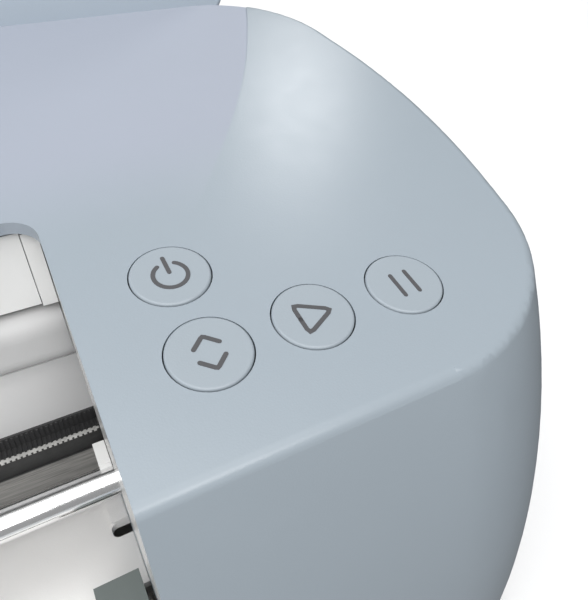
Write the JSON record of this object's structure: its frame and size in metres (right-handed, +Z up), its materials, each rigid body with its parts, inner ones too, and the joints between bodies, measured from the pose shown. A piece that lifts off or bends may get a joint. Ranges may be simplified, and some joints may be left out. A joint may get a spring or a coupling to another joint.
{
  "type": "desktop vinyl cutter",
  "caption": "Desktop vinyl and card cutter with open lid and door, sloping end cap with round buttons, and a belt-driven blade carriage over a mat bed.",
  "frame": {"origin": "on the desk, under the middle of the machine's bounding box as it stands with lid and door open", "axes": "+X to the user's right along the machine's width, +Y to the back, +Z up"},
  "size_m": [0.565, 0.2984, 0.312],
  "materials": {
    "casing_blue": "fine satin moulded plastic",
    "lid_blue": "satin moulded plastic",
    "button_blue": "satin key cap",
    "base_white": "light moulded plastic",
    "white_gloss": "gloss moulded liner",
    "light_grey": "satin grey plastic",
    "bed_grey": "satin warm grey bed",
    "dark_box": "dark grey green plastic",
    "black_plastic": "fine black plastic",
    "carriage_grey": "dark grey plastic",
    "rubber_black": "moulded rubber",
    "belt": "reinforced toothed belt",
    "steel_beam": "brushed folded steel",
    "steel": "turned steel",
    "chrome": "polished and plated",
    "motor_black": "black painted motor case",
    "aluminium": "machined aluminium",
    "bronze": "sintered bronze",
    "gear_white": "white acetal",
    "board_green": "green solder mask",
    "cup_grey": "soft cup lining",
    "tray_grey": "light moulded tray"
  },
  "bodies": {
    "chassis": {"base_pan": "base_white", "rubber_feet": "rubber_black", "casing_screws": "steel", "upper_casing": "casing_blue", "side_plates": "white_gloss", "rear_liner": "white_gloss", "top_crossbar": "light_grey", "rail_beam": "steel_beam", "belt_channel": "black_plastic", "drive_belt": "belt", "carriage_motor": "motor_black", "idler_tensioner": "steel", "tension_spring": "steel", "guide_rod": "chrome", "rod_brackets": "white_gloss", "platen": "bed_grey", "cutting_strip": "rubber_black", "feed_motor": "motor_black", "feed_motor_bracket": "steel", "shaft_bushes": "bronze", "pinch_housings": "dark_box", "pinch_pins": "steel", "control_board": "board_green", "power_inlet": "black_plastic", "usb_port": "steel", "button_board": "board_green", "tool_cup": "cup_grey", "hinge_pins": "steel", "lid_hinge_brackets": "base_white"},
    "lid": {"lid_shell": "lid_blue", "lid_liner": "white_gloss", "lid_hinge_arms": "base_white"},
    "door": {"door_shell": "lid_blue", "door_tray": "tray_grey"},
    "compartment_flap": {"compartment_flap": "white_gloss"},
    "carriage": {"carriage_body": "carriage_grey", "rod_bushes": "bronze", "carriage_guide_pad": "black_plastic", "belt_clip": "steel", "lift_guide_rods": "chrome", "carriage_cover": "white_gloss", "lift_motor": "motor_black", "lift_spring": "steel"},
    "tool_lift": {"tool_lift_body": "light_grey", "clamp_pins": "steel", "blade_holder": "aluminium", "pen_sleeve": "black_plastic"},
    "clamp_a": {"clamp_a_lever": "white_gloss"},
    "clamp_b": {"clamp_b_lever": "white_gloss"},
    "drive_pulley": {"motor_pulley": "aluminium"},
    "idler_pulley": {"idler_pulley": "aluminium"},
    "feed_shaft": {"feed_shaft": "chrome", "feed_gear": "gear_white", "grit_rollers": "steel"},
    "feed_pinion": {"feed_pinion": "bronze"},
    "pinch_rollers": {"pinch_rollers": "rubber_black"},
    "power_button": {"power_button": "button_blue"},
    "load_button": {"load_button": "button_blue"},
    "go_button": {"go_button": "button_blue"},
    "pause_button": {"pause_button": "button_blue"}
  },
  "joints": [
    {"name": "lid_hinge", "type": "hinge", "parent": "chassis", "child": "lid", "pos_m": [0, 0.113, 0.145], "axis": [1, 0, 0], "range_deg": [0, 111.3]},
    {"name": "door_hinge", "type": "hinge", "parent": "chassis", "child": "door", "pos_m": [0, -0.0555, 0.008], "axis": [1, 0, 0], "range_deg": [-90, 0]},
    {"name": "flap_hinge", "type": "hinge", "parent": "door", "child": "compartment_flap", "pos_m": [-0.0775, -0.0775, 0.0138], "axis": [-1, 0, 0], "range_deg": [0, 100]},
    {"name": "carriage_slide", "type": "slide", "parent": "chassis", "child": "carriage", "axis": [1, 0, 0], "range_m": [-0.15, 0.07]},
    {"name": "tool_lift_slide", "type": "slide", "parent": "carriage", "child": "tool_lift", "axis": [0, 0, 1], "range_m": [-0.007, 0], "stiffness_N_per_m": 250, "springref_m": 0.004, "deforming": ["lift_spring"]},
    {"name": "clamp_a_hinge", "type": "hinge", "parent": "tool_lift", "child": "clamp_a", "pos_m": [0.013, -0.0265, 0.072], "axis": [0, 0, -1], "range_deg": [0, 100]},
    {"name": "clamp_b_hinge", "type": "hinge", "parent": "tool_lift", "child": "clamp_b", "pos_m": [0.067, -0.0265, 0.072], "axis": [0, 0, 1], "range_deg": [0, 100]},
    {"name": "drive_pulley_spin", "type": "hinge", "parent": "chassis", "child": "drive_pulley", "pos_m": [-0.192, 0.0282, 0.061], "axis": [0, 0, 1], "range_deg": [-1092.9, 512.7]},
    {"name": "idler_pulley_spin", "type": "hinge", "parent": "chassis", "child": "idler_pulley", "pos_m": [0.192, 0.0282, 0.061], "axis": [0, 0, 1], "range_deg": [-1092.9, 512.7]},
    {"name": "feed_shaft_spin", "type": "hinge", "parent": "chassis", "child": "feed_shaft", "pos_m": [0, -0.0165, 0.026], "axis": [1, 0, 0], "continuous": true},
    {"name": "feed_pinion_spin", "type": "hinge", "parent": "chassis", "child": "feed_pinion", "pos_m": [0.175, 0.00733, 0.0302], "axis": [1, 0, 0], "continuous": true},
    {"name": "pinch_roller_spin", "type": "hinge", "parent": "chassis", "child": "pinch_rollers", "pos_m": [0, -0.0165, 0.0366], "axis": [1, 0, 0], "continuous": true},
    {"name": "power_button_press", "type": "slide", "parent": "chassis", "child": "power_button", "axis": [0, 0.1954, -0.9807], "range_m": [0, 0.0008], "stiffness_N_per_m": 400, "springref_m": -0.0006},
    {"name": "load_button_press", "type": "slide", "parent": "chassis", "child": "load_button", "axis": [0, 0.1954, -0.9807], "range_m": [0, 0.0008], "stiffness_N_per_m": 400, "springref_m": -0.0006},
    {"name": "go_button_press", "type": "slide", "parent": "chassis", "child": "go_button", "axis": [0, 0.1954, -0.9807], "range_m": [0, 0.0008], "stiffness_N_per_m": 400, "springref_m": -0.0006},
    {"name": "pause_button_press", "type": "slide", "parent": "chassis", "child": "pause_button", "axis": [0, 0.1954, -0.9807], "range_m": [0, 0.0008], "stiffness_N_per_m": 400, "springref_m": -0.0006}
  ],
  "couplings": [
    {"joint": "drive_pulley_spin", "follows": "carriage_slide", "rad_per_m": 126.58},
    {"joint": "idler_pulley_spin", "follows": "carriage_slide", "rad_per_m": 126.58},
    {"joint": "feed_pinion_spin", "follows": "feed_shaft_spin", "ratio": -3},
    {"joint": "pinch_roller_spin", "follows": "feed_shaft_spin", "ratio": -1.55}
  ]
}
